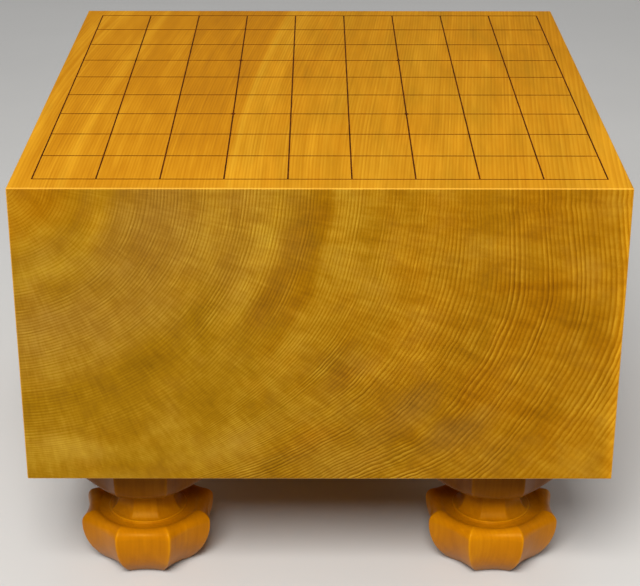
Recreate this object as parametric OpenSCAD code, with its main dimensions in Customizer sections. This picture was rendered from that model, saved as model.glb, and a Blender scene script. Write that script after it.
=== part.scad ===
// Legged shogi board: a thick block of wood with lacquered lines, on four carved gardenia-fruit legs.
// Millimetres, +Z up, front end grain towards -Y. The origin is on the floor under the middle of the block.

/* [Block] */
// Width of the block from side to side
block_w = 344; // [335:1:370]
// Length of the block from the front end grain to the back
block_l = 377; // [365:1:400]
// Thickness of the block
block_t = 182.5; // [120:0.5:210]
// Bevel planed along every edge of the block
edge_bevel = 0.6; // [0.3:0.1:3]

/* [Playing field] */
// Cells along each side of the field
cells = 9; // [5:2:9]
// Width of one cell from side to side
cell_w = 35.5; // [33:0.1:36]
// Length of one cell from front to back
cell_l = 38.7; // [36:0.1:39.5]
// Width of a lacquer line where it meets the wood
line_w = 1; // [0.6:0.1:1.6]
// Width of the flat crown of a lacquer line
line_crown_w = 0.5; // [0.2:0.05:0.55]
// Height of a lacquer line above the wood
line_h = 0.22; // [0.1:0.02:0.4]
// Cells between each star point and the two nearest edges of the field
star_cells = 3; // [1:1:4]
// Diameter of a star point
star_d = 2.8; // [2.2:0.1:4]
// Height of a star point above the wood
star_h = 0.5; // [0.42:0.02:0.8]

/* [Navel] */
// Side of the square navel recess under the block
navel_w = 90; // [50:1:120]
// Depth of the navel recess
navel_depth = 30; // [20:1:45]
// Height of the low pyramid left standing on the navel's floor
navel_pyramid_h = 16; // [6:1:19]

/* [Legs] */
// Height of a leg from the floor to the block
leg_h = 90; // [84:1:110]
// Distance from a side of the block to the centre of a leg
leg_inset_side = 63; // [55:1:85]
// Distance from an end of the block to the centre of a leg
leg_inset_end = 65.5; // [55:0.5:85]
// Half the width across flats of the foot, where a leg stands on the floor
foot_r = 24.4; // [20:0.2:28]
// Half the width across flats of the fruit at its widest
fruit_r = 40.6; // [37:0.2:44]
// Height of the fruit's widest part above the floor
fruit_widest_z = 30.5; // [27:0.5:33]
// Radius of the fruit's rounded shoulder
shoulder_r = 7.5; // [6.5:0.25:9]
// Depth to which each of the eight faces of the fruit is hollowed
hollow_depth = 2.6; // [1.5:0.1:3.5]

/* [Neck] */
// Radius of the turned ring at the foot of the neck
ring_r = 24.5; // [22:0.25:26]
// Height of the ring's top above the floor
ring_z = 35.6; // [35:0.1:37]
// Height at which the ring stands over the moat around it
ring_step = 1.4; // [1:0.1:2]
// Bevel that eases the ring's upper edge
ring_ease = 0.8; // [0.3:0.1:0.9]
// Ledge left on top of the ring outside the neck's ridges
ring_ledge = 0.3; // [0.2:0.1:0.8]
// Half the width across flats of the neck at its thinnest
neck_r = 17; // [15:0.2:18.6]
// Radius of the hollow flare that runs from the ring up to the neck
flare_r = 13; // [10:0.5:14]

/* [Cap] */
// Half the width across flats of the cap where it meets the block
cap_r = 40; // [38:0.5:44]
// Outward lean of the cap's side, in degrees
cap_lean = 4; // [0:0.5:6]
// Height above the floor at which the cap's straight side begins
cap_side_z = 66; // [65:0.5:72]
// Radius of the cap's rounded lower edge
cap_edge_r = 11; // [8:0.5:13]
// Rise of the cap's underside from the neck outwards, in degrees
under_rise = 15; // [10:1:20]
// Radius of the round in the corner between the neck and the cap's underside
under_round_r = 4.5; // [3:0.5:5]
// Width of the flat left along each ridge of the cap by the gouge
cap_ridge_w = 1; // [0.6:0.1:2]

/* [Tenon] */
// Side of the square tenon on top of a leg
tenon_w = 34; // [26:0.5:44]
// Length of the tenon
tenon_l = 36; // [24:1:50]
// Bevel around the tenon's end
tenon_bevel = 1.5; // [0.5:0.25:3]
// Gap between each side of the tenon and its mortise
tenon_gap = 0.1; // [0.05:0.01:0.3]
// Spare depth of the mortise over the tenon
mortise_spare = 3; // [1:0.5:6]

/* [Hidden] */
$fn = 96;
// Far enough past a surface for a cut to leave no skin
past = 1;

wood = "#c9942a";
wood_leg = "#c47a1c";
lacquer = "#1d120a";

block_bottom = leg_h;
block_top = leg_h + block_t;
leg_x = block_w / 2 - leg_inset_side;
leg_y = block_l / 2 - leg_inset_end;
field_w = cells * cell_w;
field_l = cells * cell_l;

// The discs that a star point's dome is drawn round
drop_discs = 4;
disc_t = 0.01;

// The legs' faces: eight of them, with one facing the front
faces = 8;
face_turn = 360 / faces;
ridge_ratio = 1 / cos(face_turn / 2);

shoulder_x = fruit_r - shoulder_r;
fruit_top_z = fruit_widest_z + shoulder_r;
moat_z = ring_z - ring_step;
// Half the width of a face where the half width across flats is r
function half_face(r) = r * tan(face_turn / 2);
// Radius of the gouge whose cut just reaches both ridges of a face at the widest part
gouge_r = (pow(half_face(fruit_r), 2) + pow(hollow_depth, 2)) / (2 * hollow_depth);
// Depth of that gouge's cut where it reaches y to both sides
function gouge_depth(y) = gouge_r - sqrt(pow(gouge_r, 2) - pow(y, 2));
// Its cut runs down the fruit's side in one arc, level with the widest part at its top
widest_cut_x = fruit_r - hollow_depth;
foot_cut_x = foot_r - gouge_depth(half_face(foot_r));
side_swell = widest_cut_x - foot_cut_x;
side_arc_r = (pow(side_swell, 2) + pow(fruit_widest_z, 2)) / (2 * side_swell);
// The gouge rolls over the shoulder until it meets the moat's floor
shoulder_turn = 90 + acos((moat_z - fruit_widest_z) / shoulder_r);
blank_r = fruit_r * ridge_ratio + past;

// The neck's flare starts a ledge inside the ring's eased edge, and is upright where it meets the neck
flare_x = neck_r + flare_r;
flare_turn = acos((flare_x - (ring_r - ring_ease - ring_ledge) / ridge_ratio) / flare_r);
flare_z = ring_z + flare_r * sin(flare_turn);
// The cap's rounded edge runs from the sloping underside to the leaning side
cap_low_r = cap_r - (leg_h - cap_side_z) * tan(cap_lean);
edge_x = cap_low_r - cap_edge_r * cos(cap_lean);
edge_z = cap_side_z + cap_edge_r * sin(cap_lean);
edge_turn = 90 - under_rise;
under_round_x = neck_r + under_round_r;
under_run = edge_x + cap_edge_r * cos(edge_turn) - (under_round_x - under_round_r * sin(under_rise));
under_round_z = edge_z - cap_edge_r * sin(edge_turn) - under_run * tan(under_rise)
    - under_round_r * cos(under_rise);
// On the cap the gouge's cut stops short of the ridges
cap_cut_depth = gouge_depth(half_face(cap_low_r) - cap_ridge_w / 2);
profile_steps = 8;

// Points of an arc round (x, z) from one angle to another
function arc(x, z, r, from, to, steps) =
    [for (i = [0 : steps]) let (a = from + (to - from) * i / steps) [x + r * cos(a), z + r * sin(a)]];

// Half outline of the leg above the ring, in the order from the ring up to the cap's straight side
neck_points = arc(flare_x, flare_z, flare_r, 180 + flare_turn, 180, profile_steps);
under_cap_points = arc(under_round_x, under_round_z, under_round_r, 180, 90 + under_rise, profile_steps / 2);
cap_points = arc(edge_x, edge_z, cap_edge_r, -edge_turn, -cap_lean, profile_steps);

// A rectangle with its four corners cut off
module bevelled_rectangle(w, l, bevel) {
    x = w / 2;
    y = l / 2;
    polygon([
        [-x + bevel, -y], [x - bevel, -y], [x, -y + bevel], [x, y - bevel],
        [x - bevel, y], [-x + bevel, y], [-x, y - bevel], [-x, -y + bevel]
    ]);
}

// A box centred on the origin with all twelve edges bevelled
module bevelled_box(w, l, h, bevel) {
    intersection() {
        linear_extrude(h, center = true) bevelled_rectangle(w, l, bevel);
        rotate([90, 0, 0]) linear_extrude(l, center = true) bevelled_rectangle(w, h, bevel);
        rotate([90, 0, 90]) linear_extrude(w, center = true) bevelled_rectangle(l, h, bevel);
    }
}

// Places a copy at each of the four legs
module at_legs() {
    for (x = [-leg_x, leg_x], y = [-leg_y, leg_y]) translate([x, y, 0]) children();
}

// A four-sided pyramid: two gable roofs crossed
module pyramid(side, h) {
    module roof() {
        rotate([90, 0, 0]) linear_extrude(side, center = true)
            polygon([[-side / 2, 0], [side / 2, 0], [0, h]]);
    }
    intersection() {
        roof();
        rotate([0, 0, 90]) roof();
    }
}

// The square recess in the middle of the underside, open downwards
module navel() {
    translate([0, 0, block_bottom]) difference() {
        translate([-navel_w / 2, -navel_w / 2, -past]) cube([navel_w, navel_w, navel_depth + past]);
        translate([0, 0, navel_depth]) mirror([0, 0, 1]) pyramid(navel_w, navel_pyramid_h);
    }
}

// A mortise for one tenon, open downwards
module mortise() {
    w = tenon_w + 2 * tenon_gap;
    translate([-w / 2, -w / 2, block_bottom - past]) cube([w, w, tenon_l + mortise_spare + past]);
}

module board_block() {
    color(wood) difference() {
        translate([0, 0, block_bottom + block_t / 2]) bevelled_box(block_w, block_l, block_t, edge_bevel);
        at_legs() mortise();
        navel();
    }
}

// One raised line of lacquer along Y, with sloping flanks and a flat crown
module line_along(l) {
    rotate([90, 0, 0]) linear_extrude(l, center = true)
        polygon([
            [-line_w / 2, 0], [line_w / 2, 0],
            [line_crown_w / 2, line_h], [-line_crown_w / 2, line_h]
        ]);
}

// All lines of the field as one film
module line_film() {
    translate([0, 0, block_top]) {
        for (i = [0 : cells])
            translate([(i - cells / 2) * cell_w, 0, 0]) line_along(field_l + line_crown_w);
        for (j = [0 : cells])
            translate([0, (j - cells / 2) * cell_l, 0]) rotate([0, 0, 90]) line_along(field_w + line_crown_w);
    }
}

module lacquer_lines() {
    color(lacquer) line_film();
}

// A drop of lacquer that covers a crossing of lines: a low dome drawn round thin discs, one above another
module star_drop() {
    hull() for (i = [0 : drop_discs - 1])
        translate([0, 0, (star_h - disc_t) * i / (drop_discs - 1)])
            cylinder(h = disc_t, d = star_d * sqrt(1 - pow(i / drop_discs, 2)), $fn = 32);
}

module star_points() {
    x = field_w / 2 - star_cells * cell_w;
    y = field_l / 2 - star_cells * cell_l;
    color(lacquer) difference() {
        for (sx = [-1, 1], sy = [-1, 1]) translate([sx * x, sy * y, block_top]) star_drop();
        line_film();
    }
}

// An eight-faced solid with the same half outline on every face: the outline, extruded four ways, in common
module eight_faced(points) {
    both_sides = concat(points, [for (i = [len(points) - 1 : -1 : 0]) [-points[i][0], points[i][1]]]);
    across = 4 * cap_r;
    intersection_for (k = [0 : faces / 2 - 1])
        rotate([90, 0, k * face_turn]) linear_extrude(across, center = true) polygon(both_sides);
}

// What a round gouge takes off the face towards +X: along the side below the widest part, then over the shoulder
module gouge_cut() {
    module sweep(x, path_r, from, turn) {
        translate([x, 0, fruit_widest_z]) rotate([90, 0, 0])
            rotate_extrude(angle = turn, start = from)
                translate([path_r + gouge_r, 0]) circle(gouge_r);
    }
    sweep(widest_cut_x - side_arc_r, side_arc_r, -90, 90);
    sweep(shoulder_x, shoulder_r - hollow_depth, 0, shoulder_turn);
}

// One face of the fruit: a wedge of a turned blank with a moat in its top, hollowed by the gouge
module fruit_face() {
    difference() {
        rotate_extrude(angle = face_turn, start = -face_turn / 2) polygon([
            [0, 0], [blank_r, 0], [blank_r, fruit_top_z],
            [shoulder_x, fruit_top_z], [ring_r, moat_z], [0, moat_z]
        ]);
        gouge_cut();
    }
}

// The fruit: eight like faces side by side, which meet in crisp ridges
module fruit() {
    for (k = [0 : faces - 1]) rotate([0, 0, k * face_turn]) fruit_face();
}

// The turned ring with its top edge eased
module ring() {
    rotate_extrude() polygon([
        [0, moat_z - past], [ring_r, moat_z - past], [ring_r, ring_z - ring_ease],
        [ring_r - ring_ease, ring_z], [0, ring_z]
    ]);
}

// What the gouge takes off the cap's face towards +X: one straight cut, which leans with the face
module cap_gouge_cut() {
    translate([cap_r, 0, leg_h]) rotate([0, cap_lean, 0])
        translate([gouge_r - cap_cut_depth, 0, -leg_h + ring_z])
            cylinder(h = leg_h, r = gouge_r);
}

// The neck and the cap: eight flat faces, of which the cap's are hollowed
module neck_and_cap() {
    difference() {
        eight_faced(concat([[0, moat_z]], neck_points, under_cap_points, cap_points,
            [[cap_r, leg_h], [0, leg_h]]));
        for (k = [0 : faces - 1]) rotate([0, 0, k * face_turn]) cap_gouge_cut();
    }
}

module tenon() {
    translate([0, 0, leg_h]) intersection() {
        translate([0, 0, (tenon_l - past) / 2])
            bevelled_box(tenon_w, tenon_w, tenon_l + past, tenon_bevel);
        translate([-tenon_w / 2, -tenon_w / 2, -past]) cube([tenon_w, tenon_w, tenon_l + past]);
    }
}

// One leg, standing on the floor at the origin
module leg() {
    color(wood_leg) {
        fruit();
        ring();
        neck_and_cap();
        tenon();
    }
}

module leg_front_left() { translate([-leg_x, -leg_y, 0]) leg(); }
module leg_front_right() { translate([leg_x, -leg_y, 0]) leg(); }
module leg_back_left() { translate([-leg_x, leg_y, 0]) leg(); }
module leg_back_right() { translate([leg_x, leg_y, 0]) leg(); }

board_block();
lacquer_lines();
star_points();
leg_front_left();
leg_front_right();
leg_back_left();
leg_back_right();
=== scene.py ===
"""The looks of a legged shogi board: its block of wood, its lacquer work and its four carved legs.

Lengths are in metres unless a name ends in _mm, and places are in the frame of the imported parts: +Z is up,
the origin is on the floor under the middle of the block, and the front end grain faces -Y.
"""

import logging
import math
from dataclasses import dataclass, field
from enum import Enum
from typing import Iterable, Optional, Sequence, Union

import bmesh
import bpy
from mathutils import Matrix, Vector


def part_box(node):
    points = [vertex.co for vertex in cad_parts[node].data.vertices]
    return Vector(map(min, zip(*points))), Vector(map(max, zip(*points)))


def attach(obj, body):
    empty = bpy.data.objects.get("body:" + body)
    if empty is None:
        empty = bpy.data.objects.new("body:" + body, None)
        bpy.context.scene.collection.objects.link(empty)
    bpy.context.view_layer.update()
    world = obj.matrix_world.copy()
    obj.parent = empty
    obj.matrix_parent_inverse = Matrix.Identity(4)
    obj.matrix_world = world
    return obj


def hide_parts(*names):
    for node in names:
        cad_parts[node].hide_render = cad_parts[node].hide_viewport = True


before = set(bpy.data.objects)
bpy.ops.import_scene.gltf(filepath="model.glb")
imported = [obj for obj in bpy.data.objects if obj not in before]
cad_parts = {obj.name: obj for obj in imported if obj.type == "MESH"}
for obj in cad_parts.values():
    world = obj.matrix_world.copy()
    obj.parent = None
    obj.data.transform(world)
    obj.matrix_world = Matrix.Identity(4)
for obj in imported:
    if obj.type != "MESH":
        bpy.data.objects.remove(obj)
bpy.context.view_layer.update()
BLOCK_LOW, BLOCK_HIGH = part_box("board_block")

LOG = logging.getLogger("shogi_board")
MM = 0.001
# The attribute that says how far each point of a leg is lightened: partly wear, partly a painted highlight on
# the ridges and the ring's edge
WEAR_AND_HIGHLIGHT = "worn"
# Points of a finished mesh that lie closer than this are one point
WELD = 0.000005
Colour = tuple[float, float, float]
# Where something begins to show and where it shows in full
Edge = tuple[float, float]
BLACK: Colour = (0.0, 0.0, 0.0)
WHITE: Colour = (1.0, 1.0, 1.0)
Number = Union["Field", float]


def srgb(red: int, green: int, blue: int) -> Colour:
    """Turns a colour as a screen shows it into the linear one that a shader wants.

    Args:
        red, green, blue: Screen values from 0 to 255.

    Returns:
        The linear red, green and blue.
    """
    return tuple(
        c / 12.92 if c <= 0.04045 else ((c + 0.055) / 1.055) ** 2.4
        for c in (red / 255, green / 255, blue / 255)
    )


class Field:
    """A value that changes from place to place, held as one output of a node.

    Plain arithmetic on fields adds Math nodes to their tree, so that a pattern reads as a formula, in
    shader trees and in geometry trees alike.
    """

    def __init__(self, tree: bpy.types.NodeTree, socket: bpy.types.NodeSocket) -> None:
        """Wraps one output socket of a tree."""
        self.tree = tree
        self.socket = socket

    def math(self, operation: str, *others: Number) -> "Field":
        """Adds a Math node.

        Args:
            operation: The node's operation, such as SINE.
            others: The values after this one.

        Returns:
            The node's output.
        """
        node = self.tree.nodes.new("ShaderNodeMath")
        node.operation = operation
        for entry, value in zip(node.inputs, (self, *others)):
            feed(self.tree, entry, value)
        return Field(self.tree, node.outputs[0])

    def __add__(self, other: Number) -> "Field":
        """Adds a value."""
        return self.math("ADD", other)

    def __sub__(self, other: Number) -> "Field":
        """Takes a value away."""
        return self.math("SUBTRACT", other)

    def __rsub__(self, other: float) -> "Field":
        """Takes this field away from a number."""
        return self.math("MULTIPLY", -1.0) + other

    def __mul__(self, other: Number) -> "Field":
        """Multiplies by a value."""
        return self.math("MULTIPLY", other)

    def __truediv__(self, other: Number) -> "Field":
        """Divides by a value."""
        return self.math("DIVIDE", other)

    def __neg__(self) -> "Field":
        """Turns the sign round."""
        return self.math("MULTIPLY", -1.0)

    def fade(self, start: float, end: float) -> "Field":
        """Rises smoothly from 0 to 1.

        Args:
            start: The value of this field at which the result is 0.
            end: The value at which it is 1, which may be the lower of the two.

        Returns:
            The smooth step.
        """
        node = self.tree.nodes.new("ShaderNodeMapRange")
        node.interpolation_type = "SMOOTHSTEP"
        flip = end < start
        low, high = (end, start) if flip else (start, end)
        feed(self.tree, node.inputs["Value"], self)
        feed(self.tree, node.inputs["From Min"], low)
        feed(self.tree, node.inputs["From Max"], high)
        feed(self.tree, node.inputs["To Min"], 1.0 if flip else 0.0)
        feed(self.tree, node.inputs["To Max"], 0.0 if flip else 1.0)
        return Field(self.tree, node.outputs["Result"])

    def held(self) -> "Field":
        """Keeps the value between 0 and 1."""
        return self.math("MAXIMUM", 0.0).math("MINIMUM", 1.0)

    def bell(self, middle: Number, reach: float) -> "Field":
        """A hump that is 1 at the middle and fades out over its reach on both sides."""
        away = (self - middle) / reach
        return (away * away * -1.0).math("EXPONENT")


def feed(tree: bpy.types.NodeTree, entry: bpy.types.NodeSocket, value: object) -> None:
    """Gives a node's input a field or a plain value.

    Args:
        tree: The tree that holds the node.
        entry: The input.
        value: A field, which is linked, or a number, vector or colour, which is set.
    """
    if isinstance(value, Field):
        tree.links.new(value.socket, entry)
    elif entry.type == "RGBA" and len(value) == 3:
        entry.default_value = (*value, 1.0)
    else:
        entry.default_value = value


class Sheet:
    """A node tree with short methods for the nodes that the finishes and the carving share."""

    def __init__(self, tree: bpy.types.NodeTree) -> None:
        """Starts on an existing tree."""
        self.tree = tree

    def node(self, kind: str, settings: Optional[dict] = None, **inputs: object) -> bpy.types.Node:
        """Adds a node.

        Args:
            kind: The node's class name.
            settings: Attributes to set on the node.
            inputs: Values for its inputs, by name, with _ for a space.

        Returns:
            The node.
        """
        made = self.tree.nodes.new(kind)
        for name, value in (settings or {}).items():
            setattr(made, name, value)
        for name, value in inputs.items():
            feed(self.tree, made.inputs[name.replace("_", " ")], value)
        return made

    def out(self, node: bpy.types.Node, name: Union[str, int] = 0) -> Field:
        """One output of a node as a field."""
        return Field(self.tree, node.outputs[name])

    def combine(self, x: Number, y: Number, z: Number) -> Field:
        """Makes a vector of three values."""
        return self.out(self.node("ShaderNodeCombineXYZ", X=x, Y=y, Z=z))

    def split(self, vector: Field) -> tuple[Field, Field, Field]:
        """Takes a vector apart into its three values."""
        node = self.node("ShaderNodeSeparateXYZ", Vector=vector)
        return self.out(node, 0), self.out(node, 1), self.out(node, 2)

    def noise(self, x: Number, y: Number, z: Number, detail: float = 2.0, roughness: float = 0.5) -> Field:
        """Soft noise from -1 to 1 at a place.

        Args:
            x, y, z: The place, already divided by the size of the noise's patches.
            detail: How many finer layers lie on the first.
            roughness: How strong the finer layers are.

        Returns:
            The noise.
        """
        node = self.node(
            "ShaderNodeTexNoise", Vector=self.combine(x, y, z), Scale=1.0, Detail=detail, Roughness=roughness
        )
        return (self.out(node, 0) - 0.5) * 2.0

    def chance(self, value: Field) -> Field:
        """A random number from 0 to 1 for each value."""
        return self.out(self.node("ShaderNodeTexWhiteNoise", {"noise_dimensions": "1D"}, W=value))

    def lerp(self, factor: Number, low: Number, high: Number) -> Field:
        """Goes from one value to another.

        Args:
            factor: How far, from 0 to 1.
            low: The value at 0.
            high: The value at 1.

        Returns:
            The value between the two.
        """
        node = self.node("ShaderNodeMix", {"data_type": "FLOAT"})
        feed(self.tree, node.inputs[0], factor)
        feed(self.tree, node.inputs[2], low)
        feed(self.tree, node.inputs[3], high)
        return Field(self.tree, node.outputs[0])

    def tint(self, factor: Number, low: object, high: object) -> Field:
        """Mixes two colours.

        Args:
            factor: How much of the second colour.
            low: The first colour.
            high: The second colour.

        Returns:
            The mixed colour.
        """
        node = self.node("ShaderNodeMix", {"data_type": "RGBA"})
        feed(self.tree, node.inputs[0], factor)
        feed(self.tree, node.inputs[6], low)
        feed(self.tree, node.inputs[7], high)
        return Field(self.tree, node.outputs[2])

    def ramp(self, value: Number, stops: Sequence[tuple[float, Colour]]) -> Field:
        """Reads a colour off a ramp.

        Args:
            value: Where to read, from 0 to 1.
            stops: Places on the ramp with their colours.

        Returns:
            The colour.
        """
        node = self.node("ShaderNodeValToRGB", Fac=value)
        band = node.color_ramp
        while len(band.elements) < len(stops):
            band.elements.new(1.0)
        for element, (place, colour) in zip(band.elements, stops):
            element.position = place
            element.color = (*colour, 1.0)
        return self.out(node, "Color")


class ShaderSheet(Sheet):
    """The node tree of one material, with the piece's own coordinates at hand."""

    def __init__(self, name: str) -> None:
        """Makes an empty material.

        Args:
            name: The material's name.
        """
        self.material = bpy.data.materials.new(name)
        self.material.use_nodes = True
        super().__init__(self.material.node_tree)
        self.tree.nodes.clear()
        self.coordinates = self.node("ShaderNodeTexCoord")

    def place_mm(self) -> tuple[Field, Field, Field]:
        """Finds the place on the piece.

        Returns:
            The place in millimetres, along X, Y and Z.
        """
        scaled = self.node("ShaderNodeVectorMath", {"operation": "SCALE"}, Scale=1 / MM)
        feed(self.tree, scaled.inputs[0], self.out(self.coordinates, "Object"))
        return self.split(self.out(scaled))

    def normal(self) -> tuple[Field, Field, Field]:
        """The way that the piece's surface faces."""
        return self.split(self.out(self.coordinates, "Normal"))

    def finish(
        self,
        colour: Field,
        roughness: Number,
        height: Optional[Field] = None,
        depth: float = 0.0,
        specular: float = 0.5,
        sheen_of: Colour = WHITE,
    ) -> bpy.types.Material:
        """Ends the tree in one surface shader.

        Args:
            colour: The colour of the surface.
            roughness: Its roughness.
            height: Its relief, from 0 to 1.
            depth: How deep that relief is, in metres.
            specular: The strength of its reflection.
            sheen_of: The colour of its reflection.

        Returns:
            The material.
        """
        shader = self.node(
            "ShaderNodeBsdfPrincipled",
            Base_Color=colour,
            Roughness=roughness,
            Specular_IOR_Level=specular,
            Specular_Tint=sheen_of,
        )
        if height is not None:
            bump = self.node("ShaderNodeBump", Height=height, Distance=depth, Strength=1.0)
            feed(self.tree, shader.inputs["Normal"], self.out(bump, "Normal"))
        output = self.node("ShaderNodeOutputMaterial")
        feed(self.tree, output.inputs["Surface"], self.out(shader, "BSDF"))
        return self.material


@dataclass(frozen=True)
class Season:
    """How the wood looks at one distance from the pith: its tone, its warmth and its greyness."""

    radius_mm: float
    tone: float = 0.0
    warmth: float = 0.0
    grey: float = 0.0

    def as_colour(self) -> Colour:
        """The three values packed as a colour, with the tone moved from -1..1 to 0..1."""
        return (0.5 + 0.5 * self.tone, self.warmth, self.grey)

    def lifted(self, tone: float, warmth: float) -> "Season":
        """The same season made paler and warmer, with its warmth at 1 at most."""
        return Season(self.radius_mm, self.tone + tone, min(1.0, self.warmth + warmth), self.grey)


@dataclass(frozen=True)
class Weights:
    """How far something shifts the look of the wood: its tone, its warmth and its greyness."""

    tone: float = 0.0
    warmth: float = 0.0
    grey: float = 0.0


@dataclass(frozen=True)
class Stain:
    """A soft patch in the end grain, with its middle, its two half sizes and its turn."""

    x_mm: float
    z_mm: float
    long_mm: float
    short_mm: float
    turn_deg: float
    tone: float = 0.0
    warmth: float = 0.0
    grey: float = 0.0

    @property
    def shade(self) -> Weights:
        """How far the patch shifts the look in its middle."""
        return Weights(self.tone, self.warmth, self.grey)


@dataclass(frozen=True)
class Grain:
    """Soft noise drawn out along the timber, and how far it shifts the look of long and of end grain."""

    across_mm: float
    along_mm: float
    detail: float = 2.0
    roughness: float = 0.5
    shift: tuple[float, float, float] = (0.0, 0.0, 0.0)
    on_long: Weights = Weights()
    on_end: Weights = Weights()

    def read(self, sheet: Sheet, x: Field, y: Field, z: Field, upright: bool = False) -> Field:
        """Reads the noise at a place.

        Args:
            sheet: The tree to add to.
            x, y, z: The place in millimetres.
            upright: Whether the timber's length runs along Z, where it otherwise runs along Y.

        Returns:
            The noise, from -1 to 1.
        """
        across, along = self.across_mm, self.along_mm
        sizes = (across, across, along) if upright else (across, along, across)
        place = [way / size + move for way, size, move in zip((x, y, z), sizes, self.shift)]
        return sheet.noise(*place, self.detail, self.roughness)


@dataclass(frozen=True)
class Zone:
    """A soft-edged zone of the end grain with fainter rings, or bolder ones if its share is below zero."""

    fainter: float
    x_edges: tuple[Edge, ...]
    z_edges: tuple[Edge, ...]

    def weigh(self, x: Field, z: Field) -> Field:
        """How much fainter the zone makes the rings at a place."""
        fades = [x.fade(*edge) for edge in self.x_edges] + [z.fade(*edge) for edge in self.z_edges]
        return math.prod(fades[1:], start=fades[0]) * self.fainter


@dataclass(frozen=True)
class WoodColours:
    """Three shades of one wood, from its dark late rings to its pale early ones."""

    dark: Colour
    middle: Colour
    pale: Colour

    def stops(self) -> list[tuple[float, Colour]]:
        """The shades as stops of a ramp."""
        return [(0.0, self.dark), (0.5, self.middle), (1.0, self.pale)]


@dataclass
class Look:
    """What the wood's patterns add up to at a place, before it becomes a colour."""

    tone: Field
    warmth: Field
    grey: Field

    def add(self, amount: Field, shade: Weights) -> None:
        """Shifts the look.

        Args:
            amount: How much of the shade, from place to place.
            shade: The shift that an amount of 1 makes.
        """
        for name, value in vars(shade).items():
            if value:
                setattr(self, name, getattr(self, name) + amount * value)

    def mix(self, sheet: Sheet, end_grain: Field, noise: Field, on_long: Weights, on_end: Weights) -> None:
        """Shifts the look by a noise that has one effect on long grain and another on end grain.

        Args:
            sheet: The tree to add to.
            end_grain: Where the surface is end grain.
            noise: The noise.
            on_long: Its effect on long grain.
            on_end: Its effect on end grain.
        """
        for name, value in vars(on_long).items():
            end_value = getattr(on_end, name)
            if value or end_value:
                effect = sheet.lerp(end_grain, value, end_value)
                setattr(self, name, getattr(self, name) + noise * effect)


@dataclass(frozen=True)
class BlockPlace:
    """A place in the block: in millimetres, in the trunk that it was cut from, and on which of its faces.

    grain_x is X with the lean of the grain taken out, and depth is how far the place lies behind the front.
    The radius and the angle are measured at the pith, the ring radius is the ring's own, and outer says how
    far it is one of the outer rings. The last three say how far the surface is end grain, top or bevel.
    """

    x: Field
    y: Field
    z: Field
    grain_x: Field
    radius: Field
    angle: Field
    ring_radius: Field
    outer: Field
    depth: Field
    end_grain: Field
    upward: Field
    bevel: Field


@dataclass(frozen=True)
class Years:
    """How far some wood is late wood and spring wood, and the luck of its year from 0 to 1."""

    late: Field
    spring: Field
    luck: Field


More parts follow.
